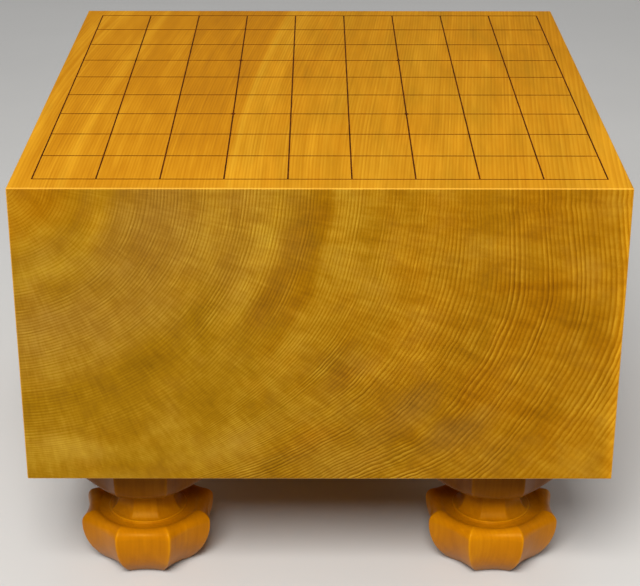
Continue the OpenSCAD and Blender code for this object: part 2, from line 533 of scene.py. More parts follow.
@dataclass(frozen=True)
class BoardWood:
    """The block's wood: growth rings round a pith that runs just outside its upper left edge."""

    name: str = "kaya_block"
    pith_x_mm: float = -178.0
    pith_z_mm: float = 277.5
    front_y_mm: float = BLOCK_LOW.y / MM
    block_l_mm: float = (BLOCK_HIGH.y - BLOCK_LOW.y) / MM
    # A surface belongs to a face, or else to a bevel, by how squarely it faces that way
    facing: Edge = (0.5, 0.9)
    bevel_facing: Edge = (0.9, 0.78)
    # The grain leans sideways towards the back, on the left more and more and on the right evenly
    left_side_mm: Edge = (70.0, -30.0)
    left_lean_mm: float = 30.0
    right_lean_mm: float = 32.0
    # Rings are pressed flat below the pith and bulge out beside it
    flat_share: float = 0.185
    flat_radius_mm: Edge = (160.0, 225.0)
    flat_deg: Edge = (18.0, 85.0)
    bulge_share: float = 0.05
    bulge_radius_mm: Edge = (200.0, 330.0)
    bulge_from_deg: Edge = (0.0, 16.0)
    bulge_to_deg: Edge = (46.0, 32.0)
    ring_mm: float = 1.85
    # Past this radius the tree grew faster from year to year, up to a steady rate
    fast_from_mm: float = 235.0
    fast_over_mm: float = 95.0
    fast_rate: float = 0.0019
    # The years differ in width by this share of a ring, in runs of this length
    uneven: float = 0.6
    uneven_mm: float = 8.0
    uneven_slice: tuple[float, float] = (3.7, 1.3)
    # The outer rings wave more, and most of all below the pith
    outer_mm: Edge = (170.0, 300.0)
    wild_deg: Edge = (8.0, 40.0)
    sway_mm: float = 2.2
    ripple_mm: float = 0.4
    ripple_wild_mm: float = 1.2
    quiver_mm: float = 0.1
    quiver_wild_mm: float = 0.5
    # A line of small kinks crosses the rings of the upper right
    kink_slope: float = 0.077
    kink_z_mm: float = 251.7
    kink_reach_mm: float = 3.0
    kink_side_mm: Edge = (25.0, 70.0)
    kink_mm: float = 0.45
    # Within a year, as a share of it: the late wood darkens slowly and the spring wood is a thin pale band
    late_rise: Edge = (0.28, 0.84)
    late_fall: Edge = (1.0, 0.88)
    spring_rise: Edge = (0.0, 0.12)
    spring_fall: Edge = (0.4, 0.16)
    spring_luck: Edge = (0.5, 0.95)
    spring_tone: float = 0.3
    late_tone: float = 0.85
    late_least: float = 0.55
    late_spread: float = 0.35
    ring_level: float = 0.22
    # Rings stand out in patches, which run along them and across them
    bundle_mm: float = 9.0
    bundle_deg: float = 14.0
    bundle_slice: float = 5.1
    patch_gain: float = 0.9
    patch_level: float = 0.92
    patch_least: float = 0.1
    long_rings: float = 0.36
    outer_gain: float = 0.12
    inner_level: float = 0.8
    zones: tuple[Zone, ...] = (
        Zone(0.55, ((-20.0, -90.0),), ((215.0, 150.0),)),
        Zone(0.6, ((85.0, 150.0),), ((140.0, 100.0),)),
        Zone(0.2, ((0.0, 50.0),), ((228.0, 262.0),)),
        Zone(-0.45, ((-95.0, -60.0), (75.0, 45.0)), ((132.0, 104.0),)),
        Zone(-0.25, ((-125.0, -160.0),), ((215.0, 180.0),)),
    )
    pith_fainter: float = 0.4
    pith_edge_mm: Edge = (95.0, 45.0)
    # A spot of bolder rings, with the middle and the reach of its hump along X and along Z
    bold_share: float = 0.6
    bold_x_mm: tuple[float, float] = (12.0, 22.0)
    bold_z_mm: tuple[float, float] = (160.0, 20.0)
    sway: Grain = Grain(70.0, 260.0, 1.0)
    ripple: Grain = Grain(15.0, 80.0)
    quiver: Grain = Grain(5.5, 40.0, 1.0)
    mottle: Grain = Grain(30.0, 150.0, 3.0, 0.6, on_long=Weights(0.2), on_end=Weights(0.42, grey=0.35))
    cloud: Grain = Grain(
        24.0, 120.0, shift=(9.0, 0.0, 0.0), on_long=Weights(warmth=0.3), on_end=Weights(warmth=0.3)
    )
    blotch: Grain = Grain(11.0, 60.0, 3.0, 0.6, (-4.0, 0.0, 0.0), on_end=Weights(0.42, grey=-0.25))
    figure: Grain = Grain(
        13.0, 75.0, 3.0, 0.55, (0.0, 0.0, 6.0), on_long=Weights(0.34, 0.6), on_end=Weights(warmth=0.3)
    )
    fibre: Grain = Grain(0.9, 45.0, 2.0, 0.6, on_long=Weights(0.22), on_end=Weights(0.07))
    streak: Grain = Grain(3.0, 170.0, on_long=Weights(0.26), on_end=Weights(0.03))
    pores: Grain = Grain(1.1, 20.0, 1.0, on_end=Weights(0.1))
    # Rays run out from the pith as fine lines, and spokes as broad ones on the right
    rays_per_deg: float = 1.5
    ray_out_mm: float = 22.0
    ray_along_mm: float = 30.0
    ray_on_end: Weights = Weights(0.3)
    spoke_deg: float = 3.5
    spoke_out_mm: float = 70.0
    spoke_slice: float = 8.1
    spoke_side_mm: Edge = (-30.0, 50.0)
    spoke_on_end: Weights = Weights(0.4)
    # The slow bands of colour are stronger in some places than in others
    reach_mm: float = 400.0
    history_gain: float = 0.78
    fitful: float = 0.9
    fitful_deg: float = 11.0
    fitful_out_mm: float = 45.0
    fitful_slice: float = 2.3
    ragged_mm: float = 5.0
    lower_from_deg: Edge = (22.0, 48.0)
    stain_depth_mm: Edge = (150.0, 40.0)
    stain_edge: Edge = (1.25, 0.0)
    # A darker, warmer strip runs along the top on the left, from behind the front edge to the back
    strip_left_mm: Edge = (-90.5, -87.5)
    strip_right_mm: Edge = (-48.0, -56.0)
    strip_depth_mm: Edge = (20.0, 190.0)
    strip: Weights = Weights(-0.16, 0.4)
    # The top is painted lighter towards the front, and most of all at its right corner, as painted light
    pale_forward_mm: Edge = (60.0, -170.0)
    pale_side_mm: Edge = (100.0, 172.0)
    pale_tone: float = 0.1
    # The long grain is warmer on the left
    warm_side_mm: Edge = (20.0, -60.0)
    warm_least: float = 0.04
    warm_left: float = 0.26
    # End grain drinks the wax and looks darker than the long grain by this share
    end_shade: float = 0.435
    rim_mm: Edge = (164.0, 172.0)
    rim_share: float = 0.4
    # The bevels are tinted towards this pale colour by this share, as a painted highlight
    bevel_share: float = 0.25
    bevel_colour: Colour = srgb(252, 196, 84)
    honey: WoodColours = WoodColours(srgb(124, 80, 4), srgb(178, 127, 14), srgb(222, 175, 52))
    amber: WoodColours = WoodColours(srgb(130, 74, 2), srgb(185, 120, 6), srgb(228, 166, 34))
    mauve: WoodColours = WoodColours(srgb(120, 80, 20), srgb(172, 121, 38), srgb(208, 164, 70))
    fibre_relief: float = 0.3
    late_relief: float = 0.06
    ray_relief: float = 0.1
    long_roughness: float = 0.4
    end_roughness: float = 0.55
    fibre_roughness: float = 0.04
    late_roughness: float = 0.05
    relief_m: float = 0.00003
    specular: float = 0.1
    sheen_of: Colour = srgb(255, 206, 96)
    # The bands below were listed after mean colours measured across the photographed wood, and rounded
    # by judgement. The upper ones are all lifted by these two amounts
    upper_tone: float = 0.08
    upper_warmth: float = 0.25
    upper: tuple[Season, ...] = (
        Season(0, 0.05, 0.9),
        Season(27, 0.0, 0.8),
        Season(33, -0.25, 0.6),
        Season(43, 0.15, 0.2),
        Season(50, -0.05, 0.1, 0.3),
        Season(61, 0.3, 0.1),
        Season(72, -0.2, 0.0, 0.5),
        Season(90, -0.15, 0.0, 0.8),
        Season(108, 0.0, 0.0, 0.6),
        Season(122, 0.3, 0.0, 0.3),
        Season(134, -0.12, 0.0, 0.4),
        Season(147, 0.32, 0.0, 0.3),
        Season(155, 0.3, 0.0, 0.1),
        Season(164, -0.3, 0.1, 0.2),
        Season(182, -0.4, 0.3),
        Season(188, 0.2, 0.1),
        Season(196, 0.2, 0.15),
        Season(208, 0.0, 0.2),
        Season(228, 0.05, 0.35),
        Season(250, 0.0, 0.6),
        Season(270, -0.2, 0.4),
        Season(300, -0.1, 0.7),
        Season(325, -0.05, 0.6),
        Season(345, 0.25, 0.8),
    )
    lower: tuple[Season, ...] = (
        Season(0, 0.3, 0.9),
        Season(27, 0.2, 0.9),
        Season(40, 0.3, 0.4),
        Season(50, -0.05, 0.1, 0.2),
        Season(61, 0.3),
        Season(74, -0.12, 0.0, 0.3),
        Season(88, 0.08, 0.0, 0.6),
        Season(106, 0.0, 0.0, 0.5),
        Season(122, 0.1, 0.0, 0.3),
        Season(135, -0.3),
        Season(143, -0.2),
        Season(156, 0.0),
        Season(170, -0.02),
        Season(183, 0.15),
        Season(199, 0.0),
        Season(226, 0.1, 0.0, 0.2),
        Season(240, 0.0, 0.1, 0.1),
        Season(256, -0.25, 0.2, 0.2),
        Season(275, -0.2, 0.2, 0.2),
        Season(300, -0.1, 0.3, 0.1),
        Season(345, 0.1, 0.5),
    )
    # Along the grain, where the cut runs lengthwise through the rings
    lengthwise: tuple[Season, ...] = (
        Season(0, 0.15, 0.9),
        Season(8, 0.3, 0.7),
        Season(14, 0.0, 0.95),
        Season(30, 0.0, 0.95),
        Season(36, 0.35, 0.65),
        Season(44, 0.0, 0.95),
        Season(80, 0.0, 0.95),
        Season(115, 0.0, 0.95),
        Season(124, 0.05, 0.75),
        Season(128, 0.5, 0.45),
        Season(133, 0.1, 0.6),
        Season(139, 0.25, 0.55),
        Season(148, 0.05, 0.7),
        Season(180, 0.0, 0.75),
        Season(215, 0.05, 0.7),
        Season(260, 0.0, 0.75),
        Season(300, -0.05, 0.75),
        Season(340, 0.1, 0.8),
    )
    stains: tuple[Stain, ...] = (
        Stain(136.0, 214.5, 50.0, 5.0, 2.0, -0.25, 0.2),
        Stain(105.5, 182.0, 13.0, 9.0, 60.0, -0.05, 0.7),
        Stain(92.0, 153.0, 22.0, 9.0, 62.0, -0.08, 0.7),
        Stain(53.0, 137.0, 26.0, 14.0, 45.0, -0.2, 0.0, 0.5),
        Stain(13.0, 157.0, 20.0, 9.0, 50.0, -0.25, 0.2, 0.1),
        Stain(78.0, 121.0, 30.0, 12.0, 35.0, -0.15, 0.0, 0.6),
        Stain(-30.0, 205.0, 26.0, 9.0, 62.0, -0.35, 0.2, 0.1),
        Stain(-12.0, 238.0, 24.0, 10.0, 78.0, -0.25, 0.1, 0.2),
        Stain(-150.0, 114.0, 38.0, 8.0, -8.0, 0.3, 0.0, 0.1),
        Stain(-120.0, 98.0, 46.0, 6.0, -2.0, -0.2, 0.2),
        Stain(-6.0, 117.0, 24.0, 10.0, 20.0, -0.08, 0.4),
        Stain(-95.0, 140.0, 60.0, 22.0, 20.0, -0.1, -0.1, 0.0),
        Stain(-155.0, 167.0, 22.0, 18.0, 0.0, 0.3),
        Stain(-155.0, 104.0, 22.0, 16.0, 0.0, 0.28),
        Stain(-66.0, 106.0, 38.0, 16.0, 0.0, 0.26),
        Stain(12.0, 167.0, 24.0, 16.0, 30.0, -0.32, 0.0, 0.15),
        Stain(98.0, 108.0, 44.0, 18.0, 0.0, -0.28, 0.0, 0.1),
        Stain(-20.0, 242.0, 20.0, 24.0, 0.0, 0.2),
    )

    def find_place(self, sheet: ShaderSheet) -> BlockPlace:
        """Works out where a point of the block lies.

        Args:
            sheet: The tree to add to.

        Returns:
            Its place in the block and in the trunk, and the face that it is on.
        """
        x, y, z = sheet.place_mm()
        face_x, face_y, face_z = sheet.normal()
        end_on = face_y.math("ABSOLUTE")
        squarest = face_x.math("ABSOLUTE").math("MAXIMUM", end_on).math("MAXIMUM", face_z.math("ABSOLUTE"))
        depth = y - self.front_y_mm
        share = depth / self.block_l_mm
        left = x.fade(*self.left_side_mm)
        grain_x = x - share * share * self.left_lean_mm * left - share * (1.0 - left) * self.right_lean_mm
        away_x = grain_x - self.pith_x_mm
        away_z = self.pith_z_mm - z
        radius = (away_x * away_x + away_z * away_z).math("SQRT")
        angle = away_z.math("ARCTAN2", away_x) * math.degrees(1.0)
        sway = self.sway.read(sheet, x, y, z) * self.sway_mm
        return BlockPlace(
            x=x,
            y=y,
            z=z,
            grain_x=grain_x,
            radius=radius,
            angle=angle,
            ring_radius=self.flattened(radius, angle) + sway,
            outer=radius.fade(*self.outer_mm),
            depth=depth,
            end_grain=end_on.fade(*self.facing),
            upward=face_z.fade(*self.facing),
            bevel=squarest.fade(*self.bevel_facing),
        )

    def flattened(self, radius: Field, angle: Field) -> Field:
        """Turns a distance from the pith into the distance that the same ring has along the top edge.

        Args:
            radius: The distance from the pith in millimetres.
            angle: The angle below the top edge in degrees.

        Returns:
            The ring's own radius in millimetres.
        """
        pressed = radius.fade(*self.flat_radius_mm) * angle.fade(*self.flat_deg) * self.flat_share
        beside = angle.fade(*self.bulge_from_deg) * angle.fade(*self.bulge_to_deg)
        bulged = radius.fade(*self.bulge_radius_mm) * beside * self.bulge_share
        return radius / (bulged - pressed + 1.0)

    def count_years(self, sheet: Sheet, place: BlockPlace) -> Years:
        """Counts the tree's years from the pith out to a place.

        Args:
            sheet: The tree to add to.
            place: The place in the block.

        Returns:
            The part of the year in which the wood there grew.
        """
        x, y, z = place.x, place.y, place.z
        wild = place.outer * place.angle.fade(*self.wild_deg)
        ripple = self.ripple.read(sheet, x, y, z) * (wild * self.ripple_wild_mm + self.ripple_mm)
        quiver = self.quiver.read(sheet, x, y, z) * (wild * self.quiver_wild_mm + self.quiver_mm)
        on_line = z.bell(x * self.kink_slope + self.kink_z_mm, self.kink_reach_mm)
        radius = place.ring_radius + ripple + quiver + on_line * x.fade(*self.kink_side_mm) * self.kink_mm

        past = (radius - self.fast_from_mm).math("MAXIMUM", 0.0)
        rising = past.math("MINIMUM", self.fast_over_mm)
        missed = rising * rising + (past - rising) * (2.0 * self.fast_over_mm)
        count = (radius - missed * self.fast_rate) / self.ring_mm
        count = count + sheet.noise(radius / self.uneven_mm, *self.uneven_slice) * self.uneven
        season = count.math("FRACT")
        return Years(
            late=season.fade(*self.late_rise) * season.fade(*self.late_fall),
            spring=season.fade(*self.spring_rise) * season.fade(*self.spring_fall),
            luck=sheet.chance(count.math("FLOOR")),
        )

    def faintness(self, place: BlockPlace) -> Field:
        """Works out how much fainter than usual the rings of the end grain are.

        Args:
            place: The place in the block.

        Returns:
            The share that their strength loses there.
        """
        near_pith = place.radius.fade(*self.pith_edge_mm) * self.pith_fainter
        bold_spot = place.x.bell(*self.bold_x_mm) * place.z.bell(*self.bold_z_mm) * self.bold_share
        return sum((zone.weigh(place.x, place.z) for zone in self.zones), start=near_pith - bold_spot)

    def ring_strength(self, sheet: Sheet, place: BlockPlace, blotch: Field) -> Field:
        """How strongly the rings show at a place.

        Args:
            sheet: The tree to add to.
            place: The place in the block.
            blotch: The noise that makes patches across the rings.

        Returns:
            The strength, which is about 1 on the end grain.
        """
        out, turn = place.ring_radius / self.bundle_mm, place.angle / self.bundle_deg
        bundle = sheet.noise(out, turn, self.bundle_slice)
        patchy = blotch * self.patch_gain + bundle * self.patch_gain + self.patch_level
        shown = sheet.lerp(place.end_grain, self.long_rings, 1.0 - self.faintness(place))
        level = place.outer * self.outer_gain + self.inner_level
        return patchy.math("MAXIMUM", self.patch_least) * shown * level

    def history(self, sheet: Sheet, radius: Field, seasons: Iterable[Season]) -> Field:
        """Reads the tree's slow changes of colour at a radius, packed as a colour."""
        stops = [(season.radius_mm / self.reach_mm, season.as_colour()) for season in seasons]
        return sheet.ramp(radius / self.reach_mm, stops)

    def recall(self, sheet: Sheet, place: BlockPlace, mottle: Field) -> Look:
        """Finds the look that the tree's slow changes give a place.

        Args:
            sheet: The tree to add to.
            place: The place in the block.
            mottle: The noise that makes the bands of the end grain ragged.

        Returns:
            The look, without the rings and the noise.
        """
        ragged = place.ring_radius + mottle * self.ragged_mm
        upper = [season.lifted(self.upper_tone, self.upper_warmth) for season in self.upper]
        ends = sheet.tint(
            place.angle.fade(*self.lower_from_deg),
            self.history(sheet, ragged, upper),
            self.history(sheet, ragged, self.lower),
        )
        lengthwise = self.history(sheet, place.ring_radius, self.lengthwise)
        tone, warmth, grey = sheet.split(sheet.tint(place.end_grain, lengthwise, ends))
        turn, out = place.angle / self.fitful_deg, place.ring_radius / self.fitful_out_mm
        fitful = sheet.noise(turn, out, self.fitful_slice) * self.fitful + 1.0
        return Look((tone - 0.5) * 2.0 * self.history_gain * fitful, warmth, grey)

    def stain(self, sheet: Sheet, look: Look, place: BlockPlace) -> None:
        """Lays the soft patches over the end grain, near the front.

        Args:
            sheet: The tree to add to.
            look: The look, which is changed.
            place: The place in the block.
        """
        shown = place.depth.fade(*self.stain_depth_mm) * place.end_grain
        spot = sheet.combine(place.x, place.z, 0.0)
        for stain in self.stains:
            mapping = sheet.node(
                "ShaderNodeMapping",
                {"vector_type": "TEXTURE"},
                Vector=spot,
                Location=(stain.x_mm, stain.z_mm, 0.0),
                Rotation=(0.0, 0.0, math.radians(stain.turn_deg)),
                Scale=(stain.long_mm, stain.short_mm, 1.0),
            )
            length = sheet.node("ShaderNodeVectorMath", {"operation": "LENGTH"})
            feed(sheet.tree, length.inputs[0], sheet.out(mapping))
            look.add(sheet.out(length, "Value").fade(*self.stain_edge) * shown, stain.shade)

    def light_top(self, sheet: Sheet, look: Look, place: BlockPlace) -> None:
        """Lays the broad changes of the upper face, with painted light towards its front, and the warmth of
        the long grain.

        Args:
            sheet: The tree to add to.
            look: The look, which is changed.
            place: The place in the block.
        """
        across = place.x.fade(*self.strip_left_mm) * place.grain_x.fade(*self.strip_right_mm)
        look.add(across * place.depth.fade(*self.strip_depth_mm) * place.upward, self.strip)
        # Painted light makes the top paler towards the front
        forward = place.y.fade(*self.pale_forward_mm) * place.upward
        look.tone = look.tone + forward * (place.x.fade(*self.pale_side_mm) + 1.0) * self.pale_tone
        warmer = place.x.fade(*self.warm_side_mm) * self.warm_left + self.warm_least
        look.warmth = look.warmth + sheet.lerp(place.end_grain, 1.0, 0.0) * warmer

    def paint(self, sheet: Sheet, look: Look, place: BlockPlace) -> Field:
        """Turns the look at a place into its colour.

        Args:
            sheet: The tree to add to.
            look: The look.
            place: The place in the block.

        Returns:
            The colour, darker on end grain and brighter on the bevels with a painted highlight.
        """
        shade = look.tone * 0.5 + 0.5
        amber = sheet.ramp(shade, self.amber.stops())
        colour = sheet.tint(look.warmth.held(), sheet.ramp(shade, self.honey.stops()), amber)
        colour = sheet.tint(look.grey.held(), colour, sheet.ramp(shade, self.mauve.stops()))
        colour = sheet.tint(place.end_grain * self.end_shade, colour, BLACK)
        colour = sheet.tint(place.x.fade(*self.rim_mm) * place.end_grain * self.rim_share, colour, amber)
        # A painted highlight lies on the bevels
        return sheet.tint(place.bevel * self.bevel_share, colour, self.bevel_colour)

    def build(self) -> bpy.types.Material:
        """Builds the material.

        Returns:
            A solid pattern of growth rings, fibres and rays, with the relief and sheen of a planed, waxed
            surface.
        """
        sheet = ShaderSheet(self.name)
        place = self.find_place(sheet)
        x, y, z, end_grain = place.x, place.y, place.z, place.end_grain
        noises = {
            grain: grain.read(sheet, x, y, z)
            for grain in (self.mottle, self.cloud, self.blotch, self.figure, self.pores)
        }
        noises.update({grain: grain.read(sheet, place.grain_x, y, z) for grain in (self.fibre, self.streak)})
        ray_turn, ray_out = place.angle * self.rays_per_deg, place.ring_radius / self.ray_out_mm
        ray = sheet.noise(ray_turn, ray_out, y / self.ray_along_mm, 2.0, 0.6)
        spoke_turn, spoke_out = place.angle / self.spoke_deg, place.ring_radius / self.spoke_out_mm
        spoke = sheet.noise(spoke_turn, spoke_out, self.spoke_slice)

        look = self.recall(sheet, place, noises[self.mottle])
        self.stain(sheet, look, place)
        self.light_top(sheet, look, place)
        for grain, noise in noises.items():
            look.mix(sheet, end_grain, noise, grain.on_long, grain.on_end)
        look.add(ray * end_grain, self.ray_on_end)
        look.add(spoke * x.fade(*self.spoke_side_mm) * end_grain, self.spoke_on_end)

        years = self.count_years(sheet, place)
        strength = self.ring_strength(sheet, place, noises[self.blotch])
        pale = years.spring * years.luck.fade(*self.spring_luck) * self.spring_tone
        dark = years.late * (years.luck * self.late_spread + self.late_least) * self.late_tone
        look.tone = look.tone + (pale - dark + self.ring_level) * strength

        fibre = noises[self.fibre]
        relief = fibre * self.fibre_relief - years.late * strength * self.late_relief
        relief = relief + ray * self.ray_relief + 0.5
        roughness = sheet.lerp(end_grain, self.long_roughness, self.end_roughness)
        roughness = roughness + fibre * self.fibre_roughness + years.late * self.late_roughness
        return sheet.finish(
            self.paint(sheet, look, place), roughness, relief, self.relief_m, self.specular, self.sheen_of
        )


@dataclass(frozen=True)
class LegWood:
    """The legs' wood: the same timber with its grain upright, oiled to a deep orange."""

    name: str = "kaya_leg"
    ring_mm: float = 2.4
    # The rings lie square to this direction, which points from the pith outwards
    outwards: tuple[float, float] = (0.92, 0.38)
    sway_mm: float = 5.0
    sway: Grain = Grain(60.0, 240.0, 1.0)
    fibre: Grain = Grain(0.8, 40.0, 2.0, 0.6, on_long=Weights(0.06))
    streak: Grain = Grain(4.0, 120.0, 3.0, 0.55, on_long=Weights(0.25))
    cloud: Grain = Grain(20.0, 60.0, on_long=Weights(0.45))
    late_rise: Edge = (0.15, 0.8)
    late_fall: Edge = (1.0, 0.82)
    late_least: float = 0.02
    late_spread: float = 0.08
    # Ridges and the ring's edge are made paler by this much, as wear and a painted highlight
    worn_tone: float = 0.36
    colours: WoodColours = WoodColours(srgb(126, 68, 2), srgb(178, 108, 2), srgb(222, 150, 10))
    # Under the block the cap is painted darker up to the leg's top, as painted shade from the block
    dull_mm: Edge = (38.0, 60.0)
    dull_tone: float = 0.85
    dull_black: float = 0.34
    top_mm: float = 90.0
    top_blend_mm: float = 0.4
    tenon_tone: float = 0.3
    # Near the floor the foot is painted a little darker as painted shade, and the oil darkens all of it by
    # the last share
    foot_mm: Edge = (14.0, 0.0)
    foot_black: float = 0.28
    oil_black: float = 0.03
    fibre_relief: float = 0.2
    late_relief: float = 0.1
    streak_relief: float = 0.2
    relief_m: float = 0.00002
    roughness: float = 0.38
    fibre_roughness: float = 0.03
    streak_roughness: float = 0.05
    worn_shine: float = 0.08
    specular: float = 0.15
    sheen_of: Colour = srgb(255, 206, 100)

    def build(self) -> bpy.types.Material:
        """Builds the material.

        Returns:
            Upright grain with faint rings and a satin sheen, with painted highlights and painted shade.
        """
        sheet = ShaderSheet(self.name)
        x, y, z = sheet.place_mm()
        sway, fibre, streak, cloud = (
            grain.read(sheet, x, y, z, upright=True)
            for grain in (self.sway, self.fibre, self.streak, self.cloud)
        )
        count = (x * self.outwards[0] + y * self.outwards[1] + sway * self.sway_mm) / self.ring_mm
        season = count.math("FRACT")
        luck = sheet.chance(count.math("FLOOR"))
        late = season.fade(*self.late_rise) * season.fade(*self.late_fall)
        worn = sheet.out(sheet.node("ShaderNodeAttribute", {"attribute_name": WEAR_AND_HIGHLIGHT}), "Fac")
        over_top = self.top_mm + self.top_blend_mm
        block_shade = z.fade(*self.dull_mm) * z.fade(over_top, self.top_mm)
        tenon = z.fade(self.top_mm, over_top)

        tone = streak * self.streak.on_long.tone + cloud * self.cloud.on_long.tone
        tone = tone + fibre * self.fibre.on_long.tone
        # Ridges and the ring's edge are lightened as wear and a painted highlight
        tone = tone - late * (luck * self.late_spread + self.late_least) + worn * self.worn_tone
        # Painted shade from the block darkens the cap
        tone = tone - block_shade * self.dull_tone + tenon * self.tenon_tone
        colour = sheet.ramp(tone * 0.5 + 0.5, self.colours.stops())
        # The cap and the foot near the floor are mixed towards black as painted shade, and the oil darkens
        # all of it a little
        black = block_shade * self.dull_black + z.fade(*self.foot_mm) * self.foot_black + self.oil_black
        relief = fibre * self.fibre_relief - late * self.late_relief + streak * self.streak_relief + 0.5
        roughness = fibre * self.fibre_roughness + streak * self.streak_roughness
        roughness = roughness - worn * self.worn_shine + self.roughness
        return sheet.finish(
            sheet.tint(black, colour, BLACK), roughness, relief, self.relief_m, self.specular, self.sheen_of
        )


@dataclass(frozen=True)
class Lacquer:
    """Black lacquer with a warm cast, laid thick enough to stand up from the wood."""

    name: str = "black_lacquer"
    thin: Colour = srgb(88, 34, 2)
    thick: Colour = srgb(52, 18, 2)
    load_mm: float = 9.0
    load_edge: Edge = (-0.5, 0.5)
    grit_mm: float = 0.5
    relief_m: float = 0.00001
    roughness: float = 0.45
    load_roughness: float = 0.06
    grit_roughness: float = 0.05
    specular: float = 0.07
    sheen_of: Colour = srgb(255, 190, 90)

    def build(self) -> bpy.types.Material:
        """Builds the material.

        Returns:
            A dark, softly glossy lacquer, browner where the brushload ran thin.
        """
        sheet = ShaderSheet(self.name)
        x, y, z = sheet.place_mm()
        load = sheet.noise(x / self.load_mm, y / self.load_mm, z / self.load_mm, 3.0)
        grit = sheet.noise(x / self.grit_mm, y / self.grit_mm, z / self.grit_mm, 1.0)
        colour = sheet.tint(load.fade(*self.load_edge), self.thin, self.thick)
        roughness = grit * self.grit_roughness + load * self.load_roughness + self.roughness
        return sheet.finish(colour, roughness, grit * 0.5 + 0.5, self.relief_m, self.specular, self.sheen_of)


@dataclass(frozen=True)
class StudioPaint:
    """The pale, matt paint of the studio floor."""

    name: str = "studio_floor"
    shade: Colour = srgb(204, 202, 198)
    patch: Colour = srgb(199, 197, 193)
    patch_mm: float = 260.0
    patch_edge: Edge = (-0.8, 0.8)
    relief_m: float = 0.00005
    roughness: float = 0.85
    patch_roughness: float = 0.03
    specular: float = 0.2

    def build(self) -> bpy.types.Material:
        """Builds the material.

        Returns:
            A nearly even, matt surface.
        """
        sheet = ShaderSheet(self.name)
        x, y, z = sheet.place_mm()
        patches = sheet.noise(x / self.patch_mm, y / self.patch_mm, z / self.patch_mm, 3.0)
        colour = sheet.tint(patches.fade(*self.patch_edge), self.shade, self.patch)
        roughness = patches * self.patch_roughness + self.roughness
        return sheet.finish(colour, roughness, patches * 0.5 + 0.5, self.relief_m, self.specular)


class Corner(Enum):
    """The four corners that a leg stands at: the side and the end, as signs of X and Y."""

    FRONT_LEFT = (-1, -1)
    FRONT_RIGHT = (1, -1)
    BACK_LEFT = (-1, 1)
    BACK_RIGHT = (1, 1)

    @property
    def words(self) -> str:
        """The corner's name as the parts spell it."""
        return self.name.lower()

    @property
    def node(self) -> str:
        """The name of the leg's part."""
        return f"leg_{self.words}"

    @property
    def body(self) -> str:
        """The name of the body that the leg moves with."""
        return f"{self.words}_leg"


def smooth(share: float) -> float:
    """Eases a share in and out, held between 0 and 1."""
    held = min(1.0, max(0.0, share))
    return held * held * (3.0 - 2.0 * held)


def new_piece(name: str, mesh: bpy.types.Mesh) -> bpy.types.Object:
    """Puts a mesh into the scene as a piece at the origin.

    Args:
        name: The piece's name.
        mesh: Its mesh, in the frame of the parts.

    Returns:
        The piece's object.
    """
    piece = bpy.data.objects.new(name, mesh)
    bpy.context.scene.collection.objects.link(piece)
    return piece


def report(piece: bpy.types.Object) -> None:
    """Logs what a finished piece is made of."""
    LOG.info("%s: %d faces", piece.name, len(piece.data.polygons))


class Carving:
    """A geometry node tree that is run once on a mesh and leaves a plain mesh behind."""

    def __init__(self, name: str) -> None:
        """Makes the tree with a geometry input and output.

        Args:
            name: The tree's name.
        """
        self.tree = bpy.data.node_groups.new(name, "GeometryNodeTree")
        self.sheet = Sheet(self.tree)
        self.tree.interface.new_socket("Geometry", in_out="INPUT", socket_type="NodeSocketGeometry")
        self.tree.interface.new_socket("Geometry", in_out="OUTPUT", socket_type="NodeSocketGeometry")
        self.given = self.sheet.node("NodeGroupInput")
        self.values: dict[str, object] = {}

    def size(self, name: str, value: Union[float, int]) -> Field:
        """Adds a named input.

        Args:
            name: The input's name.
            value: The value that it is given on this piece.

        Returns:
            The input as a field.
        """
        kind = "NodeSocketInt" if isinstance(value, int) else "NodeSocketFloat"
        item = self.tree.interface.new_socket(name, in_out="INPUT", socket_type=kind)
        self.values[item.identifier] = value
        return self.sheet.out(self.given, name)

    def finish(self, geometry: Field, material: bpy.types.Material) -> None:
        """Ends the tree: smooth faces, real copies, and the material on all of it.

        Args:
            geometry: What the tree has made.
            material: The material that it wears.
        """
        shaded = self.sheet.node("GeometryNodeSetShadeSmooth", Geometry=geometry)
        real = self.sheet.node("GeometryNodeRealizeInstances", Geometry=self.sheet.out(shaded))
        dressed = self.sheet.node("GeometryNodeSetMaterial", Geometry=self.sheet.out(real), Material=material)
        output = self.sheet.node("NodeGroupOutput")
        feed(self.tree, output.inputs[0], self.sheet.out(dressed))

    def run(self, start: bpy.types.Mesh) -> bpy.types.Mesh:
        """Runs the tree on a starting mesh.

        Args:
            start: The mesh that the tree is given.

        Returns:
            The result as a plain mesh, with its faces outwards.
        """
        holder = new_piece("carving", start)
        modifier = holder.modifiers.new("carving", "NODES")
        modifier.node_group = self.tree
        for identifier, value in self.values.items():
            modifier[identifier] = value
        holder.update_tag()
        bpy.context.view_layer.update()
        evaluated = holder.evaluated_get(bpy.context.evaluated_depsgraph_get())
        result = bpy.data.meshes.new_from_object(evaluated)
        bpy.data.objects.remove(holder)
        work = bmesh.new()
        work.from_mesh(result)
        bmesh.ops.remove_doubles(work, verts=work.verts, dist=WELD)
        bmesh.ops.recalc_face_normals(work, faces=work.faces)
        work.to_mesh(result)
        work.free()
        return result


@dataclass
class BoardBlock:
    """The thick block of wood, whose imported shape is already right."""

    wood: bpy.types.Material
    node: str = "board_block"

    def dress(self) -> None:
        """Gives the block its wood."""
        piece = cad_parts[self.node]
        piece.material_slots[0].material = self.wood
        report(piece)


